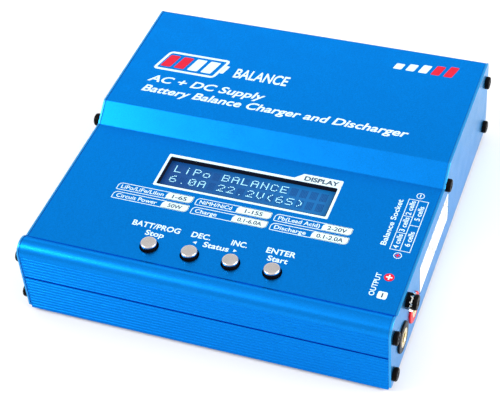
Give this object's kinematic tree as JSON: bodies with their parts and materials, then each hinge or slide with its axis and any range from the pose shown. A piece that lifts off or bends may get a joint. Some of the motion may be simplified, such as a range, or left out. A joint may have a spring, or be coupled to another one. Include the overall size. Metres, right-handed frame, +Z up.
{
  "type": "balance battery charger",
  "caption": "Flat two-level extruded metal charger with screwed side plates, a sunken text display, push buttons, output jacks, balance sockets and a side cooling fan.",
  "frame": {"origin": "middle of the footprint, on the surface that the rubber feet stand on", "axes": "+Z up; -Y is the ribbed front wall below the buttons; +X is the side plate with the output jacks and balance sockets"},
  "size_m": [0.1419, 0.138, 0.0361],
  "materials": {
    "case_blue": "azure anodised, fine blasted grain",
    "plate_blue": "azure anodised sheet",
    "screw_black": "black oxide",
    "zinc_steel": "bright zinc",
    "foot_rubber": "matt black rubber",
    "board_green": "green solder mask on glass-epoxy board",
    "post_brass": "turned brass",
    "lcd_metal": "black coated steel frame",
    "lcd_glass": "polarised display glass",
    "lcd_diffuser": "blue lit diffuser",
    "switch_black": "moulded black",
    "button_metal": "satin silver",
    "insulator_sheet": "fibre sheet",
    "ferrite": "sintered ferrite",
    "winding": "enamelled copper",
    "capacitor_can": "sleeved can",
    "ceramic": "ceramic",
    "sink_aluminium": "extruded aluminium",
    "header_white": "natural white nylon",
    "contact_tin": "tinned contact",
    "jack_black": "black moulded",
    "jack_red": "red moulded",
    "jack_gold": "gold plated brass",
    "lead_sheath": "silicone sheath",
    "fan_plastic": "black moulded"
  },
  "bodies": {
    "root": {"top_extrusion": "case_blue", "bottom_extrusion": "case_blue", "right_side_plate": "plate_blue", "left_side_plate": "plate_blue", "right_plate_screws": "screw_black", "left_plate_screws": "screw_black", "earth_screw": "screw_black", "fan_screws": "screw_black", "earth_spacer": "screw_black", "earth_lock_washer": "zinc_steel", "board_screws": "zinc_steel", "usb_port": "zinc_steel", "rubber_feet": "foot_rubber", "display_board": "board_green", "lcd_board": "board_green", "main_board": "board_green", "balance_board": "board_green", "board_posts": "post_brass", "lcd_bezel": "lcd_metal", "lcd_glass": "lcd_glass", "lcd_backlight": "lcd_diffuser", "tact_switches": "switch_black", "board_link": "switch_black", "microcontroller": "switch_black", "power_transistors": "switch_black", "rectifiers": "switch_black", "insulation_sheet": "insulator_sheet", "toroid_cores": "ferrite", "transformer_core": "ferrite", "toroid_windings": "winding", "transformer_winding": "winding", "mains_choke": "winding", "output_capacitors": "capacitor_can", "bulk_capacitor": "capacitor_can", "supply_capacitors": "capacitor_can", "discharge_resistors": "ceramic", "mains_fuse": "ceramic", "heat_sink": "sink_aluminium", "balance_header_2_cell": "header_white", "balance_header_3_cell": "header_white", "balance_header_4_cell": "header_white", "balance_header_5_cell": "header_white", "balance_header_6_cell": "header_white", "sensor_header": "header_white", "header_pins": "contact_tin", "dc_jack_pin": "contact_tin", "ac_inlet_blades": "contact_tin", "black_jack_collar": "jack_black", "ac_inlet_housing": "jack_black", "dc_jack_housing": "jack_black", "red_jack_collar": "jack_red", "jack_sleeves": "jack_gold", "jack_nuts": "jack_gold", "output_leads": "lead_sheath", "fan_frame": "fan_plastic"},
    "button_stop": {"button_stop": "button_metal"},
    "button_dec": {"button_dec": "button_metal"},
    "button_inc": {"button_inc": "button_metal"},
    "button_start": {"button_start": "button_metal"},
    "fan_rotor": {"fan_rotor": "fan_plastic"}
  },
  "joints": [
    {"name": "button_stop_press", "type": "slide", "parent": "root", "child": "button_stop", "axis": [0, 0, -1], "range_m": [0, 0.0003], "stiffness_N_per_m": 2600, "springref_m": -0.0004},
    {"name": "button_dec_press", "type": "slide", "parent": "root", "child": "button_dec", "axis": [0, 0, -1], "range_m": [0, 0.0003], "stiffness_N_per_m": 2600, "springref_m": -0.0004},
    {"name": "button_inc_press", "type": "slide", "parent": "root", "child": "button_inc", "axis": [0, 0, -1], "range_m": [0, 0.0003], "stiffness_N_per_m": 2600, "springref_m": -0.0004},
    {"name": "button_start_press", "type": "slide", "parent": "root", "child": "button_start", "axis": [0, 0, -1], "range_m": [0, 0.0003], "stiffness_N_per_m": 2600, "springref_m": -0.0004},
    {"name": "fan_spin", "type": "hinge", "parent": "root", "child": "fan_rotor", "pos_m": [-0.061, 0.02095, 0.0186], "axis": [1, 0, 0], "continuous": true}
  ]
}
